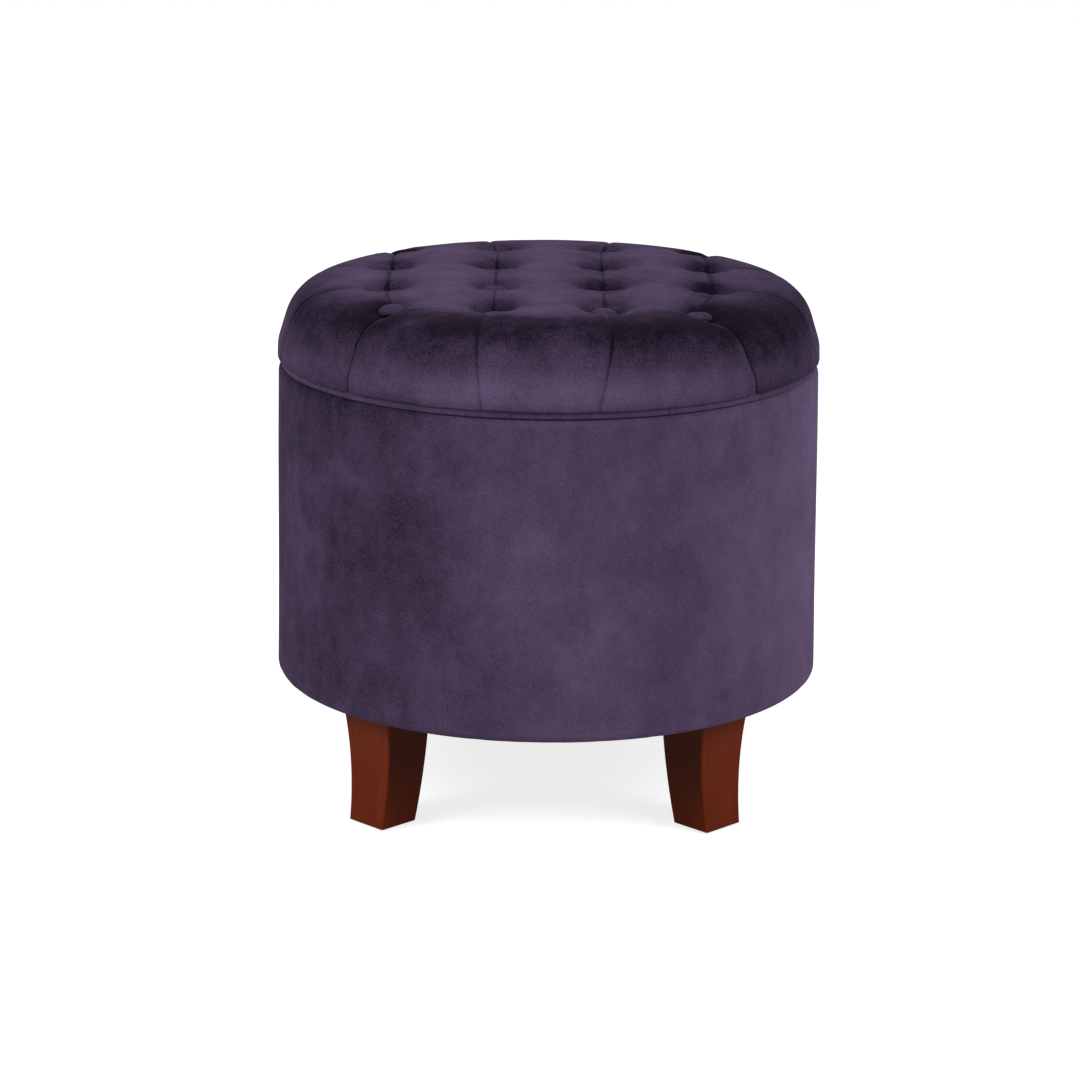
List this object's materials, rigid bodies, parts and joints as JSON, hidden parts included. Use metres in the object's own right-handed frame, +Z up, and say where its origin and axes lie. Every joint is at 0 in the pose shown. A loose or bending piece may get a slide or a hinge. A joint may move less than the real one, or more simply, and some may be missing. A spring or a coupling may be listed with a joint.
{
  "type": "storage ottoman",
  "caption": "Round storage ottoman with a velvet barrel, sabre wood legs and a lift-off lid carrying a button-tufted cushion.",
  "frame": {"origin": "on the floor, under the centre of the round body", "axes": "+Z up from the floor to the cushion; -Y is the front as pictured; +X to the viewer's right"},
  "size_m": [0.4826, 0.4826, 0.4572],
  "materials": {
    "velvet": "matte",
    "stained_wood": "satin",
    "glide_plastic": "matte",
    "zinc_steel": "satin",
    "plywood": "matte",
    "foam": "matte",
    "black_lining": "matte",
    "lined_hardboard": "matte",
    "twine": "matte"
  },
  "bodies": {
    "base": {"leg_front_left": "stained_wood", "leg_front_right": "stained_wood", "leg_rear_left": "stained_wood", "leg_rear_right": "stained_wood", "leg_glides": "glide_plastic", "hanger_bolts": "zinc_steel", "t_nuts": "zinc_steel", "bottom_board": "plywood", "barrel_wall": "plywood", "top_ring": "plywood", "wall_padding": "foam", "body_cover": "velvet", "wall_lining": "black_lining", "floor_panel": "lined_hardboard", "dust_cover": "black_lining"},
    "lid": {"lid_base_board": "plywood", "lid_band": "velvet", "lid_lining": "black_lining", "locating_ring": "plywood", "lid_screws": "zinc_steel", "cushion_board": "plywood", "foam_pad": "foam", "tufted_cover": "velvet", "tuft_buttons": "velvet", "tuft_twines": "twine", "tuft_washers": "zinc_steel"}
  },
  "joints": [
    {"name": "lid_lift", "type": "slide", "parent": "base", "child": "lid", "axis": [0, 0, 1], "range_m": [0, 0.3]}
  ]
}
